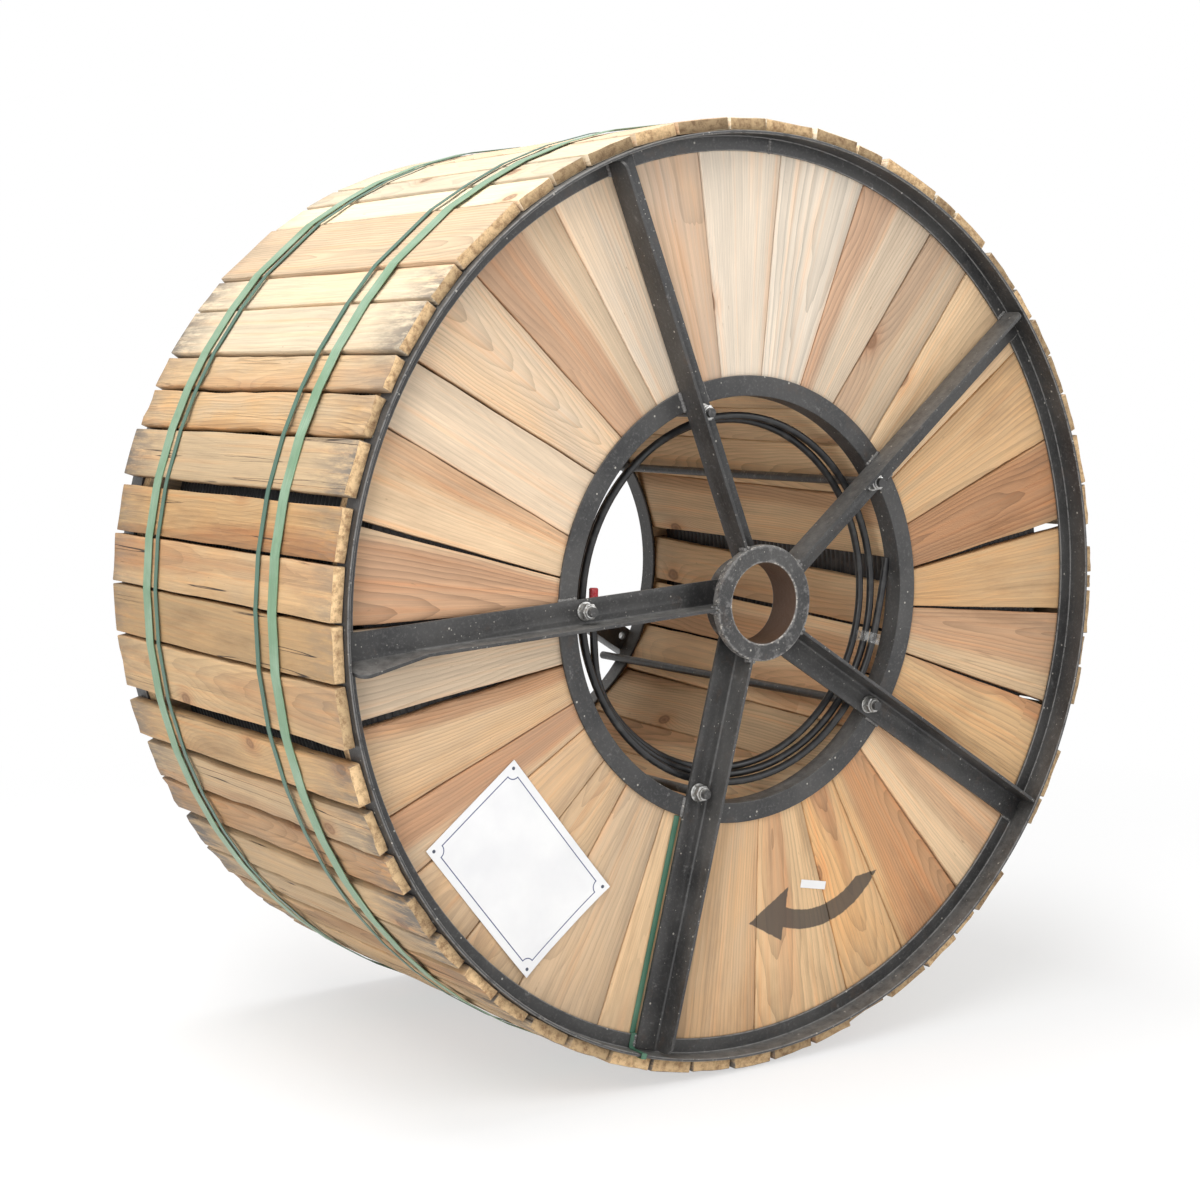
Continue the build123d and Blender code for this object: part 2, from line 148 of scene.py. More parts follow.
def ramp(tree, value, stops):
    """A colour ramp from pairs of place and grey value or colour."""
    node = add_node(tree, "ValToRGB", {"Fac": value})
    elements = node.color_ramp.elements
    while len(elements) < len(stops):
        elements.new(0.5)
    for element, (place, shade) in zip(elements, stops):
        element.position = place
        element.color = (shade,) * 3 + (1,) if isinstance(shade, float) else shade + (1,)
    return node.outputs["Color"]


def mixed(tree, amount, first, second, blend="MIX"):
    node = add_node(tree, "Mix", data_type="RGBA", blend_type=blend)
    for place, value in ((0, amount), (6, first), (7, second)):
        feed(tree, node.inputs[place], value + (1,) if isinstance(value, tuple) else value)
    return node.outputs[2]


def sheath_material(name, colour, dusty):
    """Black polyethylene sheath, with dust of the second colour in patches on it."""
    material, tree, shader = new_material(name)
    dust = noise(tree, object_place(tree), 60.0, 5.0, 0.6)
    body = mixed(tree, ramp(tree, dust, [(0.5, 0.0), (0.72, 0.55)]), colour, dusty)
    surface(tree, shader, body, ramp(tree, dust, [(0.35, 0.3), (0.7, 0.6)]))
    raise_bump(tree, shader, dust, 0.12, 0.0006)
    return material


sheath = sheath_material("black_sheath", (0.012, 0.012, 0.013), (0.07, 0.068, 0.064))
coil_curve = bpy.data.curves.new("inner_end_coil", "CURVE")
coil_curve.dimensions = "3D"
coil_line = coil_curve.splines.new("NURBS")
turn_step = -20.0
start_angle = 7.0
# Radius and place along the axle of each turn, at 0, 90, 180 and 270 degrees
outer_turn = [(0.2450, -0.2885), (0.2450, -0.2880), (0.2500, -0.2870), (0.2460, -0.2885)]
second_turn = [(0.2400, -0.2770), (0.2440, -0.2765), (0.2455, -0.2760), (0.2370, -0.2790)]
third_turn = [(0.2270, -0.2690), (0.2390, -0.2660), (0.2400, -0.2660), (0.2270, -0.2700)]
coil_steps = 46
coil_points = []
for step in range(coil_steps):
    angle = start_angle + step * turn_step
    travelled = -(angle - start_angle) / 360
    whole = min(int(travelled), 2)
    share = travelled - whole
    here, after = [outer_turn, second_turn, third_turn, third_turn][whole:whole + 2]
    quarter = (angle % 360) / 90
    low, part = int(quarter) % 4, quarter - int(quarter)

    blend = max(0.0, min(1.0, (share - 0.15) / 0.7))
    radius, depth = [
        (here[low][k] * (1 - part) + here[(low + 1) % 4][k] * part) * (1 - blend)
        + (after[low][k] * (1 - part) + after[(low + 1) % 4][k] * part) * blend
        for k in (0, 1)
    ]
    coil_points.append((radius * cos(radians(angle)), depth, radius * sin(radians(angle))))
entry_angle, entry_radius, entry_depth = radians(9.0), 0.2660, -0.2800
coil_points[0] = (entry_radius * cos(entry_angle), entry_depth, entry_radius * sin(entry_angle))
before_cap, in_cap = (-0.2180, -0.2690, -0.0330), (-0.2173, -0.2690, 0.0036)
coil_points[-1] = before_cap
coil_points.append(in_cap)
coil_line.points.add(len(coil_points) - 1)
for point, place in zip(coil_line.points, coil_points):
    point.co = place + (1.0,)
coil_line.order_u = 3
coil_line.use_endpoint_u = True
coil_line.resolution_u = 6
coil_curve.bevel_depth = cable_diameter / 2
coil_curve.bevel_resolution = 5
coil_curve.use_fill_caps = True
coil = new_object("inner_end_coil", coil_curve)
coil.data.materials.append(sheath)
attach(coil, "root")
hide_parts("cable_end_coil", "cable_tail")


def node_material(node, material):
    """A CAD node keeps its shape and takes this material."""
    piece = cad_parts[node]
    piece.data.materials.clear()
    piece.data.materials.append(material)


cap_plastic, tree, shader = new_material("red_cap")
scuffed = ramp(tree, noise(tree, object_place(tree), 400.0, 3.0), [(0.45, 0.0), (0.8, 1.0)])
surface(tree, shader, mixed(tree, scuffed, (0.55, 0.035, 0.05), (0.75, 0.22, 0.22)), 0.42)
node_material("cable_end_cap", cap_plastic)

tape, tree, shader = new_material("clear_tape")
creases = noise(tree, scaled(tree, object_place(tree), (1.0, 3.0, 1.0)), 150.0, 3.0)
surface(tree, shader, (0.45, 0.45, 0.44, 1), 0.2)
tree.links.new(ramp(tree, creases, [(0.42, 0.06), (0.70, 0.42)]), shader.inputs["Alpha"])
raise_bump(tree, shader, creases, 0.5, 0.001)
node_material("coil_tie", tape)


# Flange steelwork. Each rim and mouth ring is rolled from angle and welded shut, the hub is
# a ring plate on a short tube, and all of it is dipped in thin black paint.
def start_from_point(name, point):
    """A new mesh object that is one vertex, in edit mode with the vertex selected."""
    bpy.ops.object.select_all(action="DESELECT")
    bpy.ops.mesh.primitive_plane_add(size=0.01, location=(0, 0, 0))
    piece = bpy.context.object
    piece.name = name
    bpy.ops.object.mode_set(mode="EDIT")
    bpy.ops.mesh.select_all(action="SELECT")
    bpy.ops.mesh.merge(type="CENTER")
    bpy.ops.transform.translate(value=point)
    return piece


def join_doubles(threshold):
    bpy.ops.mesh.select_all(action="SELECT")
    bpy.ops.mesh.remove_doubles(threshold=threshold)
    bpy.ops.mesh.select_all(action="SELECT")


def turned(name, profile, steps):
    """A ring turned about the axle line from a closed profile of radius and depth."""
    points = [(radius, depth, 0) for radius, depth in profile]
    piece = start_from_point(name, points[0])
    for before, after in zip(points, points[1:] + points[:1]):
        move = [b - a for a, b in zip(before, after)]
        bpy.ops.mesh.extrude_region_move(TRANSFORM_OT_translate={"value": move})
    join_doubles(1e-6)
    bpy.ops.mesh.spin(steps=steps, angle=2 * pi, center=(0, 0, 0), axis=(0, 1, 0))
    join_doubles(1e-6)
    bpy.ops.mesh.normals_make_consistent(inside=False)
    bpy.ops.object.mode_set(mode="OBJECT")
    bpy.ops.object.shade_smooth_by_angle(angle=radians(35))
    return piece


def turn_faces_out():
    """Point the faces of the active piece outwards."""
    bpy.ops.object.mode_set(mode="EDIT")
    bpy.ops.mesh.select_all(action="SELECT")
    bpy.ops.mesh.normals_make_consistent(inside=False)
    bpy.ops.object.mode_set(mode="OBJECT")


def join_all(pieces):
    """Join the pieces into the first one, which keeps its name."""
    bpy.ops.object.select_all(action="DESELECT")
    for piece in pieces:
        piece.select_set(True)
    bpy.context.view_layer.objects.active = pieces[0]
    bpy.ops.object.join()
    return bpy.context.object


def soften(piece, width, segments, angle=35, worn=-1):
    """Round the sharp edges; the faces of the rounding may take a material of their own."""
    bevel = piece.modifiers.new("edges", "BEVEL")
    bevel.width, bevel.segments, bevel.limit_method = width, segments, "ANGLE"
    bevel.angle_limit, bevel.material = radians(angle), worn
    bpy.context.view_layer.objects.active = piece
    bpy.ops.object.modifier_apply(modifier="edges")
    bpy.ops.object.shade_smooth_by_angle(angle=radians(angle))


def new_group(name, inputs, outputs):
    """An empty shader node group, with its ends; each socket is a name and a kind."""
    group = bpy.data.node_groups.new(name, "ShaderNodeTree")
    for direction, sockets in (("INPUT", inputs), ("OUTPUT", outputs)):
        for label, kind in sockets:
            group.interface.new_socket(label, in_out=direction, socket_type="NodeSocket" + kind)
    return group, group.nodes.new("NodeGroupInput").outputs, group.nodes.new("NodeGroupOutput").inputs


def mapped(tree, value, low, high, new_low=0.0, new_high=1.0):
    values = {"Value": value, "From Min": low, "From Max": high, "To Min": new_low, "To Max": new_high}
    return add_node(tree, "MapRange", values).outputs[0]


skin_outputs = (("Colour", "Color"), ("Roughness", "Float"), ("Height", "Float"))


def paint_group():
    """Thin black paint with worn spots, specks of cement, dust and a little rust."""
    group, entry, leave = new_group(
        "weathered_paint", (("Vector", "Vector"), ("Wear", "Float"), ("Up", "Float")), skin_outputs
    )
    vector = entry["Vector"]
    broad = noise(group, vector, 9.0, 7.0, 0.62)
    fine = noise(group, vector, 240.0, 4.0, 0.7)
    chips = noise(group, vector, 75.0, 6.0, 0.75)
    colour = ramp(group, broad, [(0.32, (0.018, 0.018, 0.019)), (0.68, (0.066, 0.064, 0.062))])
    worn = ramp(group, maths(group, "MULTIPLY_ADD", entry["Wear"], 0.30, chips), [(0.60, 0.0), (0.72, 0.85)])
    scuffed = ramp(group, fine, [(0.53, 0.0), (0.70, 0.55)])
    rusty = ramp(group, noise(group, vector, 24.0, 8.0, 0.72), [(0.58, 0.0), (0.74, 0.6)])
    dusty = ramp(group, chips, [(0.35, 0.25), (0.62, 0.85)])
    dusty = mixed(group, 1.0, mapped(group, entry["Up"], 0.25, 0.95), dusty, "MULTIPLY")
    for share, tint in (
        (worn, (0.17, 0.165, 0.16)), (scuffed, (0.115, 0.112, 0.108)),
        (rusty, (0.085, 0.055, 0.038)), (dusty, (0.19, 0.185, 0.175)),
    ):
        colour = mixed(group, share, colour, tint)
    for scale, left_out, size in ((60.0, 0.45, 0.10), (150.0, 0.60, 0.13)):
        speck = add_node(group, "TexVoronoi", {"Vector": vector, "Scale": scale, "Randomness": 1.0}).outputs
        dot = ramp(group, speck["Distance"], [(size * 0.6, 1.0), (size, 0.0)])
        chosen = ramp(group, speck["Color"], [(left_out, 0.0), (left_out + 0.05, 1.0)])
        colour = mixed(group, mixed(group, 1.0, dot, chosen, "MULTIPLY"), colour, (0.40, 0.38, 0.34))
    group.links.new(colour, leave["Colour"])
    group.links.new(mapped(group, broad, 0.3, 0.7, 0.34, 0.58), leave["Roughness"])
    group.links.new(maths(group, "ADD", fine, chips), leave["Height"])
    return group


weathered_paint = paint_group()


def painted_steel(name, bump_strength, wear):
    """Black painted steel with dust where it faces up; wear goes from none at 0 to 1."""
    material, tree, shader = new_material(name)
    skin = tree.nodes.new("ShaderNodeGroup")
    skin.node_tree = weathered_paint
    tree.links.new(object_place(tree), skin.inputs["Vector"])
    skin.inputs["Wear"].default_value = wear
    facing = add_node(tree, "SeparateXYZ", {0: add_node(tree, "NewGeometry").outputs["Normal"]})
    tree.links.new(facing.outputs[2], skin.inputs["Up"])
    surface(tree, shader, skin.outputs["Colour"], skin.outputs["Roughness"])
    raise_bump(tree, shader, skin.outputs["Height"], bump_strength, 0.0008)
    shader.inputs["Metallic"].default_value = 0.1
    return material, tree, shader, skin


steel = painted_steel("black_painted_steel", bump_strength=0.45, wear=0.0)[0]
worn_edge = painted_steel("worn_steel_edge", bump_strength=0.5, wear=0.75)[0]


def away_from(tree, vector, middle):
    """The distance of a place from a middle."""
    apart = add_node(tree, "VectorMath", {0: vector, 1: middle}, operation="SUBTRACT").outputs[0]
    return add_node(tree, "VectorMath", {0: apart}, operation="LENGTH").outputs["Value"]


# The hub's face is scraped bright round both edges, and its bore is brown with rust
hub_bore, hub_tube, hub_outside = 0.0525, 0.0585, 0.0755
hub_back, hub_shoulder, hub_front = 0.2925, 0.3305, 0.3425
hub_steel, tree, shader, skin = painted_steel("cut_tube_steel", bump_strength=0.9, wear=0.2)
place = object_place(tree)
reach = away_from(tree, scaled(tree, place, (1.0, 0.0, 1.0)), (0.0, 0.0, 0.0))
span = mapped(tree, reach, hub_bore, hub_outside)
scraped = ramp(tree, span, [(0.03, 1.0), (0.16, 0.25), (0.80, 0.2), (0.95, 0.7)])
tree.links.new(scraped, skin.inputs["Wear"])
brown = ramp(tree, span, [(0.005, 1.0), (0.02, 0.0)])
rusty = mixed(tree, brown, skin.outputs["Colour"], (0.085, 0.050, 0.034))
spatter = noise(tree, place, 210.0, 5.0, 0.8)
bright = ramp(tree, maths(tree, "MULTIPLY_ADD", scraped, 0.22, spatter), [(0.70, 0.0), (0.78, 1.0)])
bright = mixed(tree, 1.0, bright, maths(tree, "SUBTRACT", 1.0, brown), "MULTIPLY")
tree.links.new(mixed(tree, bright, rusty, (0.50, 0.47, 0.42)), shader.inputs["Base Color"])

# Each profile is pairs of radius and depth from the middle of the drum
ring_steps, hub_steps = 192, 96
face, board_side, rim_edge = 0.305, 0.301, 0.335
rim_inside, rim_wall, rim_outside = 0.577, 0.596, 0.600
mouth_inside, mouth_wall, mouth_outside, mouth_back = 0.266, 0.270, 0.2925, 0.275
rim_profile = [
    (rim_inside, board_side), (rim_outside, board_side), (rim_outside, rim_edge),
    (rim_wall, rim_edge), (rim_wall, face), (rim_inside, face),
]
mouth_profile = [
    (mouth_inside, face), (mouth_outside, face), (mouth_outside, board_side),
    (mouth_wall, board_side), (mouth_wall, mouth_back), (mouth_inside, mouth_back),
]
hub_profile = [
    (hub_bore, hub_back), (hub_tube, hub_back), (hub_tube, hub_shoulder),
    (hub_outside, hub_shoulder), (hub_outside, hub_front), (hub_bore, hub_front),
]
for side, name in ((front_side, "front"), (back_side, "back")):
    for label, profile, body, edge, width, steps in (
        ("outer_ring", rim_profile, steel, worn_edge, 0.0012, ring_steps),
        ("inner_ring", mouth_profile, steel, steel, 0.0012, ring_steps),
        ("hub", hub_profile, hub_steel, hub_steel, 0.0020, hub_steps),
    ):
        placed = [(radius, side * depth) for radius, depth in profile]
        ring = turned(name + "_" + label + "_rolled", placed, steps)
        ring.data.materials.append(body)
        ring.data.materials.append(edge)
        soften(ring, width, 2, worn=1)
        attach(ring, "root")
        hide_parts(name + "_" + label)


# Spokes. Ten lengths of 36 mm angle run from hub to rim, each with one leg on the boards
# and one leg upright. The copy of each frame gets its mill-rounded edges.
def merged_copy(node, name):
    """A copy of a node's mesh as one clean shell, selected and active in object mode."""
    bpy.ops.object.select_all(action="DESELECT")
    piece = new_object(name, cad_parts[node].data.copy())
    piece.data.materials.clear()
    bpy.context.view_layer.objects.active = piece
    piece.select_set(True)
    bpy.ops.object.mode_set(mode="EDIT")
    join_doubles(2e-6)
    bpy.ops.mesh.dissolve_limited(angle_limit=radians(1))
    bpy.ops.object.mode_set(mode="OBJECT")
    return piece


for name in ("front", "back"):
    frame_bars = merged_copy(name + "_spokes", name + "_spoke_bars")
    frame_bars.data.materials.append(steel)
    frame_bars.data.materials.append(worn_edge)
    soften(frame_bars, 0.0010, 2, worn=1)
    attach(frame_bars, "root")
    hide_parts(name + "_spokes")


spoke_start, spoke_step, rim_joint = 39.7, 72.0, 86.9
weld_size, weld_depth = 0.0026, face + 0.0002


def weld_runs():
    """Angle, start and end of each weld, as distance out, distance across and depth."""
    for index in range(5):
        spoke = spoke_start + spoke_step * index
        for across, foot in ((-0.0030, -0.0350), (0.0030, 0.0030)):
            yield spoke, (0.0768, across, 0.3315), (0.0768, across, 0.3400)
            yield spoke, (0.2680, foot, weld_depth), (0.2900, foot, weld_depth)
            yield spoke, (0.5780, foot, weld_depth), (0.5900, foot, weld_depth)
    yield rim_joint, (0.5785, 0.0, 0.3044), (0.5950, 0.0, 0.3044)


def weld_place(side, turn, out, across, deep):
    """A place in the drum; the back flange is the front one turned round on a spoke."""
    x, z = out * cos(turn) - across * sin(turn), out * sin(turn) + across * cos(turn)
    if side == back_side:
        flip = 2 * radians(spoke_start)
        x, z = x * cos(flip) + z * sin(flip), x * sin(flip) - z * cos(flip)
    return x, side * deep, z


# Short welds hold each spoke to the hub's plate, the mouth ring and the rim, and one weld
# closes the rim
chance = random.Random(3)
for side, name in ((front_side, "front"), (back_side, "back")):
    bpy.ops.object.select_all(action="DESELECT")
    bpy.ops.mesh.primitive_uv_sphere_add(segments=8, ring_count=6, radius=1, location=(0, 0, 0))
    drop = bpy.context.object
    drops = []
    for angle, start, end in weld_runs():
        start, end = Vector(start), Vector(end)
        count = max(2, round((end - start).length / weld_size))
        for step in range(count):
            spot = start.lerp(end, step / (count - 1))
            copy = new_object(name + "_welds", drop.data.copy())
            size = weld_size * chance.uniform(0.8, 1.25)
            for vertex in copy.data.vertices:
                vertex.co = weld_place(side, radians(angle), *(spot + vertex.co * size))
            drops.append(copy)
    bpy.data.objects.remove(drop)
    welds = join_all(drops)
    turn_faces_out()
    bpy.ops.object.shade_smooth_by_angle(angle=radians(60))
    welds.data.materials.append(worn_edge)
    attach(welds, "root")


# Boards. Rough-sawn softwood planks of many widths fill the flanges, make the barrel and
# lag the winding. Each is cut with a taper or left straight, and nailed or strapped on.
def solids_of(node):
    """The points of each solid of a node, from its loose triangles."""
    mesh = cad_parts[node].data
    points = np.empty(len(mesh.vertices) * 3)
    mesh.vertices.foreach_get("co", points)
    points = points.reshape(-1, 3)
    keys, joined = np.unique(np.round(points * 2e5).astype(np.int64), axis=0, return_inverse=True)
    joined = joined.reshape(-1)
    group = np.arange(len(keys))

    def root(item):
        while group[item] != item:
            group[item] = group[group[item]]
            item = group[item]
        return item

    for polygon in mesh.polygons:
        first = root(joined[polygon.vertices[0]])
        for vertex in polygon.vertices[1:]:
            group[root(joined[vertex])] = first
    roots = np.array([root(item) for item in range(len(keys))])[joined]
    return [points[roots == value] for value in sorted(set(roots.tolist()))]


def plank_corners(points, along, across, up):
    """Eight corners of a plank, by end, by edge and by face."""
    corners = np.empty((2, 2, 2, 3))
    for end in (0, 1):
        near_end = np.abs(along - (along.min(), along.max())[end]) < 0.004
        for top in (0, 1):
            level = up[near_end]
            near = near_end & (np.abs(up - (level.min(), level.max())[top]) < 0.004)
            chosen, places = across[near], points[near]
            corners[end][0][top] = places[chosen.argmin()]
            corners[end][1][top] = places[chosen.argmax()]
    return corners


def sawn_blank(cuts_along, cuts_across):
    """A plank one unit long, wide and thick, cut into a grid to be shaped."""
    bpy.ops.object.select_all(action="DESELECT")
    bpy.ops.mesh.primitive_cube_add(size=1, location=(0.5, 0.5, 0.5))
    blank = bpy.context.object
    bpy.ops.object.transform_apply(location=True, rotation=True, scale=True)
    bpy.ops.object.mode_set(mode="EDIT")
    for axis, count in ((0, cuts_along), (1, cuts_across)):
        for cut in range(1, count):
            at = [0.5, 0.5, 0.5]
            at[axis] = cut / count
            normal = [0, 0, 0]
            normal[axis] = 1
            bpy.ops.mesh.select_all(action="SELECT")
            bpy.ops.mesh.bisect(plane_co=at, plane_no=normal)
    bpy.ops.object.mode_set(mode="OBJECT")
    return blank


def wander(chance, places, size, waves):
    """A slow uneven curve along a sawn edge, never below zero."""
    curve = np.zeros_like(places)
    for wave in range(waves):
        turn, phase = chance.uniform(2, 6) * (wave + 1), chance.uniform(0, 2 * pi)
        curve += np.sin(places * turn + phase) * chance.uniform(0.3, 1.0) / (wave + 1)
    return size * (curve - curve.min()) / max(1e-6, curve.max() - curve.min())


def by_angle(points, angle):
    """A value read between pairs of angle in degrees and value, round the drum."""
    return float(np.interp(angle % 360, *zip(*points)))


def nailed_boards(
    name, node, outlines, woods, seed, edge_loss, end_loss, face_loss, age, rough, warmth,
):
    """All boards of a node as one piece with grain coordinates and a number for each.

    Each edge, end and outer face falls short of the plank by up to its loss. Age, from pale to brown,
    roughness and warmth of colour are given round the drum; on the lagging the age also holds painted light,
    paler on top and darker down the left side."""
    blank = sawn_blank(16, 4)
    grid = np.empty(len(blank.data.vertices) * 3)
    blank.data.vertices.foreach_get("co", grid)
    x, y, z = grid.reshape(-1, 3).T
    is_end = [1 if abs(polygon.normal.x) > 0.7 else 0 for polygon in blank.data.polygons]
    chance = random.Random(seed)
    made = []
    for number, corners in enumerate(outlines):
        middle = corners.mean(axis=(0, 1, 2))
        angle = float(np.degrees(np.arctan2(middle[2], middle[0])))
        coarse = by_angle(rough, angle)
        length, width, thick = [float(np.linalg.norm(difference)) for difference in (
            corners[1].mean(axis=(0, 1)) - corners[0].mean(axis=(0, 1)),
            corners[:, 1].mean(axis=(0, 1)) - corners[:, 0].mean(axis=(0, 1)),
            corners[0, 0, 1] - corners[0, 0, 0],
        )]
        inward = corners[:, :, 0] - corners[:, :, 1]
        inward /= np.linalg.norm(inward, axis=-1, keepdims=True)
        sunk = chance.uniform(0, face_loss)
        for end in (0, 1):
            for edge in (0, 1):
                corners[end, edge, 1] += inward[end, edge] * (sunk + chance.uniform(0, 0.4) * face_loss)
        low, high = [
            wander(chance, x * 3 + 9 * edge, edge_loss * coarse * chance.uniform(0.5, 1.5) / width, 5)
            for edge in (0, 1)
        ]
        across = np.where(y < 0.01, low, np.where(y > 0.99, 1 - high, y))
        ends = [chance.uniform(0, end_loss) / length for _ in (0, 1)]
        rag = wander(chance, y * 4 + z, 0.35 * end_loss * coarse / length, 3)
        along = np.where(x < 0.01, ends[0] + rag, np.where(x > 0.99, 1 - ends[1] - rag, x))
        hollow = wander(chance, x * 2.5 + y * 1.5, 0.6 * face_loss * coarse / thick, 4)
        up = np.where(z > 0.5, 1 - np.minimum(hollow, 0.3), z)
        spots = sum(
            (
                (along if end else 1 - along) * (across if edge else 1 - across) * (up if top else 1 - up)
            )[:, None] * corners[end, edge, top]
            for end in (0, 1) for edge in (0, 1) for top in (0, 1)
        )
        board = new_object(name, blank.data.copy())
        board.data.vertices.foreach_set("co", spots.reshape(-1))
        layer = board.data.uv_layers.get("UVMap") or board.data.uv_layers.new(name="UVMap")
        layer.name = "grain"
        corner_of = np.empty(len(board.data.loops), dtype=np.int64)
        board.data.loops.foreach_get("vertex_index", corner_of)
        u = along[corner_of] * length
        v = across[corner_of] * width + up[corner_of] * thick
        layer.data.foreach_set("uv", np.stack([u, v], axis=1).reshape(-1).astype(np.float32))
        shade = min(1.0, max(0.0, by_angle(age, angle) + chance.uniform(-0.16, 0.16)))
        glow = min(1.0, by_angle(warmth, angle) + max(0.0, chance.uniform(-0.6, 0.6)))
        for label, value in (
            ("board", number + chance.random()), ("age", shade), ("warmth", glow),
            ("tip", np.minimum(along, 1 - along) * length),
        ):
            values = np.broadcast_to(value, len(x)).astype(np.float32)
            board.data.attributes.new(label, "FLOAT", "POINT").data.foreach_set("value", values)
        for wood in woods:
            board.data.materials.append(wood)
        board.data.polygons.foreach_set("material_index", is_end)
        made.append(board)
    bpy.data.objects.remove(blank)
    piece = join_all(made)
    piece.name = name
    turn_faces_out()
    soften(piece, 0.0009, 1, 50)
    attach(piece, "root")
    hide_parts(node)


def wood_group():
    """Growth rings, heartwood, knots, fibres, cracks and stain of a sawn softwood plank."""
    group, entry, leave = new_group("sawn_softwood", (
        ("Vector", "Vector"), ("Board", "Float"), ("Tip", "Float"), ("Age", "Float"), ("Warmth", "Float"),
        ("Weather", "Float"), ("Pale Sapwood", "Color"), ("Dark Sapwood", "Color"),
        ("Pale Heartwood", "Color"), ("Dark Heartwood", "Color"),
    ), skin_outputs)
    seed, age = entry["Board"], entry["Age"]

    def product(first, second):
        return maths(group, "MULTIPLY", first, second)

    def total(*values):
        while len(values) > 1:
            values = (maths(group, "ADD", *values[:2]),) + values[2:]
        return values[0]

    def stretched(value, factor, shift):
        return maths(group, "MULTIPLY_ADD", value, factor, shift)

    def slope(value, low, high):
        return mapped(group, value, low, high)

    def lot(factor, low, high):
        """A number between low and high that is drawn anew for each board."""
        return stretched(maths(group, "FRACT", product(seed, factor)), high - low, low)

    def toned(share, tint):
        """The colour so far with a share of itself times a tint."""
        return mixed(group, share, colour, mixed(group, 1.0, colour, tint, "MULTIPLY"))

    parts = add_node(group, "SeparateXYZ", {0: entry["Vector"]})
    along, across = parts.outputs[0], parts.outputs[1]

    def cloud(length_scale, width_scale, shift, detail, rough=0.5):
        """Noise stretched along the grain, different on each board."""
        spot = add_node(group, "CombineXYZ", {
            0: product(along, length_scale), 1: product(across, width_scale), 2: stretched(seed, 3.7, shift),
        })
        return noise(group, spot.outputs[0], 1.0, detail, rough)

    # Knots, in about one of three cells of 25 by 16 cm
    knot_spot = add_node(group, "CombineXYZ", {
        0: stretched(along, 4.0, product(seed, 5.3)), 1: product(across, 6.2),
    }).outputs[0]
    knots = add_node(
        group, "TexVoronoi", {"Vector": knot_spot, "Scale": 1.0, "Randomness": 1.0}, voronoi_dimensions="2D"
    ).outputs
    chosen = slope(add_node(group, "SeparateXYZ", {0: knots["Color"]}).outputs[0], 0.60, 0.64)
    distance = total(knots["Distance"], stretched(chosen, -2.0, 2.0))
    swirl = product(maths(group, "POWER", 2.718, product(distance, -8.0)), 0.020)

    # The plank is cut from a log whose pith runs beside it or just behind its face
    bend = stretched(cloud(2.4, 1.0, 0.0, 2.0), 0.030, -0.015)
    beside = total(maths(group, "SUBTRACT", across, lot(7.31, -0.02, 0.13)), bend)
    tilt = product(along, lot(3.93, -0.10, 0.10))
    behind = total(lot(5.17, 0.006, 0.06), tilt, product(cloud(3.0, 2.0, 4.1, 3.0), 0.022))
    radius = total(maths(group, "SQRT", total(product(beside, beside), product(behind, behind))), swirl)
    rings = stretched(radius, lot(1.77, 150.0, 330.0), product(cloud(5.0, 60.0, 6.0, 2.0), 0.9))
    latewood = maths(group, "POWER", maths(group, "FRACT", rings), 2.6)
    limit = total(lot(9.77, -0.01, 0.085), stretched(cloud(4.0, 30.0, 2.3, 4.0), 0.030, -0.015))
    outside = slope(maths(group, "SUBTRACT", radius, limit), -0.005, 0.006)
    heart = product(maths(group, "SUBTRACT", 1.0, outside), lot(6.43, 0.45, 1.0))

    # Age mixes the pale and dark colours. On the lagging it also carries painted light, paler on top and
    # darker down the left side.
    sapwood = mixed(group, age, entry["Pale Sapwood"], entry["Dark Sapwood"])
    heartwood = mixed(group, age, entry["Pale Heartwood"], entry["Dark Heartwood"])
    colour = mixed(group, heart, sapwood, heartwood)
    fibre = cloud(5.0, 600.0, 5.1, 3.0, 0.65)
    streak = cloud(2.2, 95.0, 15.1, 3.0, 0.6)
    patch = cloud(5.0, 16.0, 8.7, 5.0, 0.6)
    shade = stretched(latewood, stretched(heart, -0.10, lot(4.41, -0.30, -0.08)), 1.05)
    for texture, size in ((fibre, 0.46), (streak, 0.58), (patch, 0.50)):
        shade = product(shade, stretched(texture, size, 1.0 - size / 2))
    colour = mixed(group, 1.0, colour, product(shade, lot(3.17, 0.82, 1.10)), "MULTIPLY")
    colour = toned(product(entry["Warmth"], slope(patch, 0.25, 0.60)), (0.96, 0.76, 0.54))
    colour = toned(product(slope(streak, 0.52, 0.72), 0.5), (0.92, 0.66, 0.46))

    ragged = total(distance, stretched(cloud(30.0, 60.0, 41.0, 3.0), 0.05, -0.025))
    colour = toned(ramp(group, ragged, [(0.05, 0.45), (0.15, 0.0)]), (0.80, 0.52, 0.36))
    core = ramp(group, ragged, [(0.0, 0.85), (0.026, 0.5), (0.040, 0.8), (0.058, 0.0)])
    colour = mixed(group, core, colour, (0.21, 0.105, 0.052))

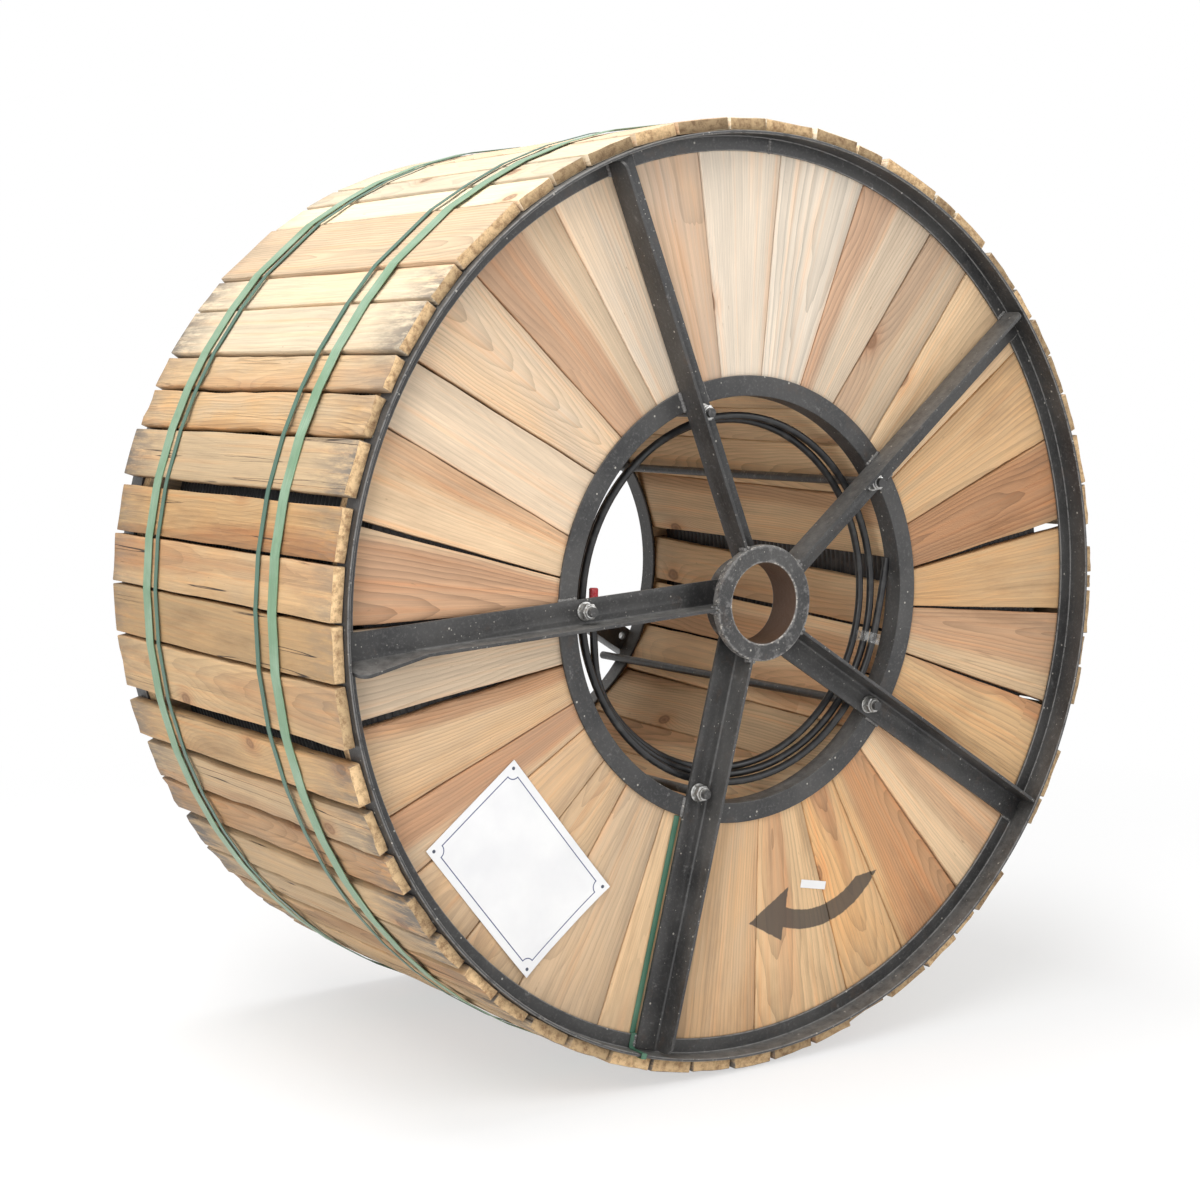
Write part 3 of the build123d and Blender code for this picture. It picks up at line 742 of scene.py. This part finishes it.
    # Stain and grime, at the tips first, and cracks along the grain of old boards
    stain = slope(cloud(16.0, 95.0, 11.0, 6.0, 0.70), 0.39, 0.57)
    tip_share = ramp(group, product(entry["Tip"], 5.0), [(0.0, 1.0), (0.55, 0.05)])
    weather = product(entry["Weather"], product(slope(age, 0.05, 0.5), lot(8.31, 0.1, 1.1)))
    colour = mixed(group, product(stain, product(tip_share, weather)), colour, (0.17, 0.145, 0.12))
    # Grime grows with age, so on the lagging it also follows the painted shade down the left side.
    grime = slope(cloud(4.0, 22.0, 27.0, 6.0, 0.65), 0.50, 0.72)
    colour = toned(product(grime, product(age, 0.6)), (0.50, 0.42, 0.36))
    off_line = maths(group, "ABSOLUTE", maths(group, "SUBTRACT", cloud(1.7, 75.0, 31.0, 2.0, 0.4), 0.62))
    narrow = maths(group, "SUBTRACT", 1.0, slope(off_line, 0.0035, 0.013))
    open_grain = product(slope(age, 0.35, 0.8), slope(entry["Weather"], 0.1, 0.8))
    crack = product(narrow, product(open_grain, slope(patch, 0.45, 0.56)))
    colour = mixed(group, crack, colour, (0.055, 0.035, 0.022))
    pit = ramp(group, cloud(50.0, 170.0, 17.0, 2.0), [(0.73, 0.0), (0.80, 0.6)])
    colour = mixed(group, pit, colour, (0.28, 0.18, 0.10))
    group.links.new(colour, leave["Colour"])
    group.links.new(mapped(group, fibre, 0.0, 1.0, 0.62, 0.90), leave["Roughness"])
    height = total(fibre, product(latewood, 0.35), product(streak, 1.3))
    group.links.new(maths(group, "SUBTRACT", height, product(crack, 2.5)), leave["Height"])
    return group


sawn_softwood = wood_group()


def wood_material(name, pale, dark, weather, bump_strength):
    """Planks of one use; pale and dark each hold a sapwood and a heartwood colour."""
    material, tree, shader = new_material(name)
    wood = tree.nodes.new("ShaderNodeGroup")
    wood.node_tree = sawn_softwood
    tree.links.new(add_node(tree, "UVMap", uv_map="grain").outputs["UV"], wood.inputs["Vector"])
    for label in ("board", "tip", "age", "warmth"):
        number = add_node(tree, "Attribute", attribute_name=label, attribute_type="GEOMETRY")
        tree.links.new(number.outputs["Fac"], wood.inputs[label.capitalize()])
    for label, (sapwood, heartwood) in (("Pale", pale), ("Dark", dark)):
        wood.inputs[label + " Sapwood"].default_value = sapwood + (1,)
        wood.inputs[label + " Heartwood"].default_value = heartwood + (1,)
    wood.inputs["Weather"].default_value = weather
    surface(tree, shader, wood.outputs["Colour"], wood.outputs["Roughness"])
    raise_bump(tree, shader, wood.outputs["Height"], bump_strength, 0.0012)
    return material, tree, shader, wood


def end_grain(name, colour, dark):
    """Sawn end of a plank, rougher and more orange than its faces."""
    material, tree, shader = new_material(name)
    board = add_node(tree, "Attribute", attribute_name="board", attribute_type="GEOMETRY").outputs["Fac"]
    coarse = noise(tree, object_place(tree), 110.0, 7.0, 0.75)
    body = ramp(tree, coarse, [(0.36, dark), (0.56, colour)])
    tone = mapped(tree, maths(tree, "FRACT", maths(tree, "MULTIPLY", board, 5.71)), 0.0, 1.0, 0.5, 1.2)
    surface(tree, shader, mixed(tree, 1.0, body, tone, "MULTIPLY"), 0.85)
    raise_bump(tree, shader, coarse, 0.9, 0.002)
    return material


board_ends = end_grain("board_end_grain", (0.66, 0.46, 0.25), (0.30, 0.175, 0.085))
# Colours are a sapwood and a heartwood one; what changes round the drum is given as pairs
# of angle and value
flange_pale, flange_dark = ((0.71, 0.625, 0.52), (0.58, 0.40, 0.28)), ((0.61, 0.41, 0.22), (0.46, 0.24, 0.12))
flange_age = [
    (0, 1.0), (40, 0.7), (70, 0.15), (100, 0.1), (130, 0.5), (165, 0.65), (200, 0.6), (230, 0.65),
    (270, 0.8), (360, 1.0),
]
smooth, plain = [(0, 1.0), (360, 1.0)], [(0, 0.1), (360, 0.1)]
back_wood = wood_material("flange_softwood", flange_pale, flange_dark, 0.25, 0.5)[0]
front_wood, tree, shader, wood = wood_material("marked_flange_softwood", flange_pale, flange_dark, 0.25, 0.5)

# A plain curved arrow for the way to roll is painted on the front boards in thin black. Its
# shaft is part of a ring, cut at both ends, and its head is a triangle.
place = object_place(tree)
arrow_middle, arrow_radius, arrow_width = (0.1143, 0.0, -0.3098), 0.1293, 0.027
head_corners = [(0.010, -0.432), (0.066, -0.463), (0.078, -0.390)]
shaft_start, shaft_end = ((0.068, -0.30), (0.068, -0.50)), ((0.227, -0.388), (0.184, -0.393))


def left_of(corner, other):
    """How far a place lies left of the line from one corner to the other, from the front."""
    (x, z), (x_end, z_end) = corner, other
    size = ((x_end - x) ** 2 + (z_end - z) ** 2) ** 0.5
    normal = ((z - z_end) / size, 0.0, (x_end - x) / size)
    dot = add_node(tree, "VectorMath", {0: place, 1: normal}, operation="DOT_PRODUCT").outputs["Value"]
    return maths(tree, "SUBTRACT", dot, normal[0] * x + normal[2] * z)


def least(values):
    while len(values) > 1:
        values = [maths(tree, "MINIMUM", *values[:2])] + values[2:]
    return values[0]


head = least([left_of(head_corners[k], head_corners[(k + 1) % 3]) for k in range(3)])
reach = away_from(tree, scaled(tree, place, (1.0, 0.0, 1.0)), arrow_middle)
off_ring = maths(tree, "ABSOLUTE", maths(tree, "SUBTRACT", reach, arrow_radius))
within = maths(tree, "SUBTRACT", arrow_width / 2, off_ring)
mark = maths(tree, "MAXIMUM", head, least([within, left_of(*shaft_start), left_of(*shaft_end)]))
mark = maths(tree, "MULTIPLY_ADD", noise(tree, place, 130.0, 4.0), 0.0030, mark)
paint = mapped(tree, mark, 0.0012, 0.0024, 0.0, 0.9)
tree.links.new(mixed(tree, paint, wood.outputs["Colour"], (0.060, 0.050, 0.042)), shader.inputs["Base Color"])

for side, name, seed, flange_wood in (
    (front_side, "front", 11, front_wood), (back_side, "back", 23, back_wood),
):
    outlines = []
    for points in solids_of(name + "_flange_boards"):
        middle = np.arctan2(points[:, 2].mean(), points[:, 0].mean())
        lean = (np.arctan2(points[:, 2], points[:, 0]) - middle + pi) % (2 * pi) - pi
        reach = np.hypot(points[:, 0], points[:, 2])
        outlines.append(plank_corners(points, reach, lean * side, side * points[:, 1]))
    nailed_boards(
        name + "_sawn_boards", name + "_flange_boards", outlines, (flange_wood, board_ends), seed,
        edge_loss=0.0009, end_loss=0.001, face_loss=0.0007, age=flange_age, rough=smooth, warmth=plain,
    )


def straight_planks(node):
    """The corners of each plank of a node that lies along the drum."""
    outlines = []
    for points in solids_of(node):
        out = np.array([points[:, 0].mean(), 0, points[:, 2].mean()])
        out /= np.linalg.norm(out)
        round_drum = np.array([-out[2], 0, out[0]])
        outlines.append(plank_corners(points, points[:, 1], points @ round_drum, points @ out))
    return outlines


stave_pale, stave_dark = ((0.84, 0.63, 0.40), (0.66, 0.42, 0.24)), ((0.74, 0.53, 0.31), (0.52, 0.29, 0.16))
stave_wood = wood_material("barrel_softwood", stave_pale, stave_dark, 0.3, 0.5)[0]
stave_age = [(0, 0.4), (200, 0.4), (240, 0.0), (300, 0.0), (360, 0.4)]
nailed_boards(
    "barrel_planks", "barrel_staves", straight_planks("barrel_staves"), (stave_wood, board_ends),
    seed=5, edge_loss=0.0012, end_loss=0.0005, face_loss=0.0, age=stave_age, rough=smooth, warmth=plain,
)
lagging_pale = ((0.86, 0.75, 0.57), (0.72, 0.51, 0.32))
lagging_dark = ((0.47, 0.315, 0.16), (0.35, 0.185, 0.085))
lagging_wood = wood_material("lagging_softwood", lagging_pale, lagging_dark, 1.4, 0.8)[0]
# Age of the lagging round the drum, with painted light in it: the boards on top are painted paler and those
# down the left side darker, as light falls from above and the left. The rough boards at the lower left are
# also darker in their own colour.
lagging_age_and_painted_light = [
    (0, 0.55), (45, 0.35), (75, 0.05), (115, 0.05), (130, 0.3), (150, 0.55), (168, 0.95), (185, 1.0),
    (195, 0.85), (210, 0.9), (240, 0.85), (265, 0.7), (320, 0.6), (360, 0.55),
]
lagging_rough = [
    (0, 1.0), (150, 0.7), (152, 3.0), (159, 3.0), (161, 0.8), (196, 1.0), (202, 3.0), (238, 3.0),
    (246, 1.5), (360, 1.0),
]
lagging_warmth = [
    (0, 0.1), (151, 0.1), (153, 1.0), (159, 1.0), (161, 0.1), (200, 0.3), (240, 0.3), (360, 0.1),
]
nailed_boards(
    "lagging_planks", "lagging_boards", straight_planks("lagging_boards"), (lagging_wood, board_ends),
    seed=41, edge_loss=0.0012, end_loss=0.003, face_loss=0.0022, age=lagging_age_and_painted_light, rough=lagging_rough,
    warmth=lagging_warmth,
)


# The wound cable. Turns of black sheathed cable lie side by side in layers, so the outside,
# the bore and both ends of the winding are ribbed.
winding_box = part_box("cable_winding")
half_width, widest = winding_box[1][1], winding_box[1][0]
bore = float(np.hypot(*solids_of("cable_winding")[0][:, [0, 2]].T).min())
rows = int((half_width * 2) / cable_diameter)
pitch = half_width * 2 / rows
layers = int((widest - bore) / cable_diameter)
rise = (widest - bore) / layers
groove, crest, crest_start, crest_end, corner_step = 0.0022, 0.0003, 0.28, 0.72, 0.001


def ribs(count, start, step, low, high, lead=0.0):
    """Ribs side by side, as pairs of place along the row and place up from it."""
    for k in range(count):
        yield start + k * step + lead, low
        yield start + (k + crest_start) * step + lead, high
        yield start + (k + crest_end) * step, high


def swapped(pairs):
    return [(second, first) for first, second in pairs]


winding_profile = [
    *swapped(ribs(rows, -half_width, pitch, widest - groove, widest - crest)),
    *ribs(layers, widest, -rise, half_width - groove, half_width, -corner_step),
    *swapped(ribs(rows, half_width, -pitch, bore + groove, bore + crest)),
    *ribs(layers, bore, rise, groove - half_width, -half_width, corner_step),
]
winding = turned("wound_cable", winding_profile, steps=120)
dusty_sheath = sheath_material("dusty_black_sheath", (0.035, 0.035, 0.037), (0.13, 0.125, 0.115))
winding.data.materials.append(dusty_sheath)
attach(winding, "root")
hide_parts("cable_winding")


# Tie rods, washers and locking nuts. Plain steel rods hold the flanges together, and
# zinc-plated nuts with a nylon collar stand on washers at the spokes.
rod_steel = painted_steel("tie_rod_steel", bump_strength=0.5, wear=0.1)[0]
node_material("tie_rods", rod_steel)
zinc, tree, shader = new_material("zinc_plate")
bloom = noise(tree, object_place(tree), 220.0, 5.0)
plated = ramp(tree, bloom, [(0.35, (0.30, 0.29, 0.27)), (0.65, (0.56, 0.56, 0.55))])
surface(tree, shader, plated, ramp(tree, bloom, [(0.35, 0.5), (0.7, 0.26)]))
shader.inputs["Metallic"].default_value = 0.85
for node in ("tie_rod_nuts", "tie_rod_washers"):
    fastener = merged_copy(node, node + "_plated")
    soften(fastener, 0.0007, 2)
    fastener.data.materials.append(zinc)
    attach(fastener, "root")
    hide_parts(node)


# Straps. Polyester bands, two wide light green ones and two narrow dark ones, are pulled
# tight round the lagging. A thin one runs beside the bottom spoke and over the front rim.
def strap_plastic(name, colour, bleached):
    """Drawn band with fine lines along it, bleached in places."""
    material, tree, shader = new_material(name)
    place = object_place(tree)
    haze = noise(tree, place, 14.0, 5.0, 0.6)
    lines = noise(tree, scaled(tree, place, (20.0, 1600.0, 20.0)), 1.0, 2.0)
    body = mixed(tree, ramp(tree, haze, [(0.4, 0.0), (0.7, 1.0)]), colour, bleached)
    body = mixed(tree, ramp(tree, lines, [(0.4, 0.25), (0.6, 0.0)]), body, (0.02, 0.08, 0.05))
    surface(tree, shader, body, ramp(tree, haze, [(0.3, 0.32), (0.7, 0.5)]))
    raise_bump(tree, shader, lines, 0.3, 0.0004)
    return material


for node, name, colour, bleached in (
    ("wide_straps", "light_green_band", (0.165, 0.29, 0.165), (0.31, 0.43, 0.31)),
    ("narrow_straps", "dark_green_band", (0.045, 0.115, 0.078), (0.085, 0.17, 0.12)),
    ("loop_strap", "thin_green_band", (0.05, 0.135, 0.085), (0.09, 0.20, 0.13)),
):
    node_material(node, strap_plastic(name, colour, bleached))


# Handling sheet. A bare white plastic sheet is nailed over the lower left boards, with a
# thin blue line round it and a nail at each corner. It has curled a little at two corners.
sheet_points = solids_of("placard")[0]
sheet_angle = radians(38.4)
right_up = np.array([cos(sheet_angle), 0, sin(sheet_angle)])
left_up = np.array([-sin(sheet_angle), 0, cos(sheet_angle)])
across, up = sheet_points @ right_up, sheet_points @ left_up
sheet_width, sheet_height = float(np.ptp(across)), float(np.ptp(up))
bpy.ops.object.select_all(action="DESELECT")
bpy.ops.mesh.primitive_grid_add(x_subdivisions=24, y_subdivisions=32, size=1, location=(0, 0, 0))
sheet = bpy.context.object
sheet.name = "handling_sheet"
sheet.data.uv_layers.active.name = "face"
for loop_uv in sheet.data.uv_layers.active.data:
    loop_uv.uv = (loop_uv.uv[0] * sheet_width, loop_uv.uv[1] * sheet_height)
right_curl, left_curl, ripple, sheet_gap, sheet_thickness = 0.0040, 0.0035, 0.0007, 0.0003, 0.0007
for vertex in sheet.data.vertices:
    u, v = vertex.co.x + 0.5, vertex.co.y + 0.5
    lift = right_curl * max(0.0, u - v - 0.55) ** 2 / 0.2 + left_curl * max(0.0, 0.35 - u - v) ** 2 / 0.12
    held_edge = min(1.0, 12 * min(u, v, 1 - u, 1 - v) + 0.2)
    lift += ripple * (1 + sin(5.0 * u + 2.0) * sin(7.0 * v)) * held_edge
    spot = right_up * (across.min() + u * sheet_width) + left_up * (up.min() + v * sheet_height)
    vertex.co = (spot[0], float(sheet_points[:, 1].max()) - sheet_gap - lift, spot[2])
thickness = sheet.modifiers.new("thickness", "SOLIDIFY")
thickness.thickness, thickness.offset = sheet_thickness, 1
bpy.ops.object.modifier_apply(modifier="thickness")
turn_faces_out()
bpy.ops.object.shade_smooth_by_angle(angle=radians(30))

sheet_white, tree, shader = new_material("white_sheet")
spot = add_node(tree, "SeparateXYZ", {0: add_node(tree, "UVMap", uv_map="face").outputs["UV"]}).outputs
inset, notch, nail_inset = 0.010, 0.010, 0.0075


def nearest_edge(value, size):
    return maths(tree, "MINIMUM", value, maths(tree, "SUBTRACT", size, value))


corner_spot = add_node(tree, "CombineXYZ", {
    0: nearest_edge(spot[0], sheet_width), 1: nearest_edge(spot[1], sheet_height),
}).outputs[0]
edges = add_node(tree, "SeparateXYZ", {0: corner_spot}).outputs
inside = [maths(tree, "SUBTRACT", edges[k], inset) for k in (0, 1)]
inside.append(maths(tree, "SUBTRACT", away_from(tree, corner_spot, (inset, inset, 0.0)), notch))
off_line = maths(tree, "ABSOLUTE", least(inside))
off_nail = away_from(tree, corner_spot, (nail_inset, nail_inset, 0.0))
on_line = ramp(tree, scaled(tree, off_line, (500.0, 500.0, 500.0)), [(0.25, 1.0), (0.42, 0.0)])
on_nail = ramp(tree, scaled(tree, off_nail, (200.0, 200.0, 200.0)), [(0.40, 1.0), (0.50, 0.0)])
smudge = noise(tree, object_place(tree), 12.0, 6.0)
white = ramp(tree, smudge, [(0.35, (0.70, 0.70, 0.71)), (0.6, (0.76, 0.76, 0.76))])
lined = mixed(tree, on_line, white, (0.045, 0.06, 0.16))
surface(tree, shader, mixed(tree, on_nail, lined, (0.05, 0.06, 0.09)), 0.4)
sheet.data.materials.append(sheet_white)
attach(sheet, "root")
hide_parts("placard")

# A small bare white sticker is beside the arrow
sticker_turn, sticker_size, sticker_middle = -0.19, (0.0435, 0.0003, 0.0110), (0.1199, -0.3012, -0.3931)
bpy.ops.object.select_all(action="DESELECT")
bpy.ops.mesh.primitive_cube_add(size=1, location=(0, 0, 0))
sticker = bpy.context.object
sticker.name = "bare_sticker"
for vertex in sticker.data.vertices:
    x, y, z = [size * place for size, place in zip(sticker_size, vertex.co)]
    vertex.co = Vector(sticker_middle) + Vector((
        x * cos(sticker_turn) - z * sin(sticker_turn), y, x * sin(sticker_turn) + z * cos(sticker_turn),
    ))
sticker.data.materials.append(sheet_white)
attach(sticker, "root")


# Floor and light. A plain pale floor lies under a soft sky, with broad lamps to the left of
# the camera and above the drum, and weak ones from the right and low on the left.
bpy.ops.object.select_all(action="DESELECT")
floor_size, floor_gap = 40, 0.0005
bpy.ops.mesh.primitive_plane_add(size=floor_size, location=(0, 0, cad_box[0][2] - floor_gap))
floor = bpy.context.object
floor.name = "floor"
floor_white, tree, shader = new_material("pale_floor")
surface(tree, shader, (0.95, 0.95, 0.95, 1), 0.9)


def shown_rays(tree):
    """One for the rays that show a background: from the camera, off gloss or through glass."""
    rays = add_node(tree, "LightPath").outputs
    bright = maths(tree, "MAXIMUM", rays["Is Camera Ray"], rays["Is Glossy Ray"])
    return maths(tree, "MAXIMUM", bright, rays["Is Transmission Ray"])


# The floor turns white away from the drum
reach = away_from(tree, object_place(tree), (0.0, 0.0, 0.0))
fading = mapped(tree, reach, 0.9, 2.4, 0.55, 1.0)
glow = add_node(tree, "Emission", {"Color": (1.0, 1.0, 1.0, 1), "Strength": 1.0})
pale = add_node(tree, "MixShader", {0: fading, 1: shader.outputs[0], 2: glow.outputs[0]})
seen = add_node(tree, "MixShader", {0: shown_rays(tree), 1: shader.outputs[0], 2: pale.outputs[0]})
for node in tree.nodes:
    if node.type == "OUTPUT_MATERIAL":
        tree.links.new(seen.outputs[0], node.inputs["Surface"])
floor.data.materials.append(floor_white)

world = bpy.data.worlds.new("studio")
bpy.context.scene.world = world
world.use_nodes = True
sky = world.node_tree
sky.nodes.clear()
soft = add_node(sky, "Background", {"Color": (1.0, 1.0, 1.0, 1), "Strength": 0.50})
white = add_node(sky, "Background", {"Color": (1.0, 1.0, 1.0, 1), "Strength": 1.0})
choice = add_node(sky, "MixShader", {0: shown_rays(sky), 1: soft.outputs[0], 2: white.outputs[0]})
add_node(sky, "OutputWorld", {"Surface": choice.outputs[0]})


def soft_lamp(name, place, aim, size, power):
    lamp_data = bpy.data.lights.new(name, "AREA")
    lamp_data.shape, lamp_data.size, lamp_data.energy = "DISK", size, power
    lamp = new_object(name, lamp_data)
    lamp.location = place
    lamp.rotation_euler = (Vector(aim) - Vector(place)).to_track_quat("-Z", "Y").to_euler()


soft_lamp("key", (-2.6, -2.2, 3.4), (0, 0, 0), 2.6, 112.0)
soft_lamp("top", (-0.9, 0.3, 3.6), (-0.2, 0, 0), 2.2, 95.0)
soft_lamp("fill", (2.8, -3.4, 1.6), (0, 0, 0), 2.4, 36.0)
soft_lamp("low", (-3.2, -2.6, 0.1), (0, 0, -0.1), 1.6, 40.0)

scene = bpy.context.scene
scene.view_settings.view_transform = "Standard"
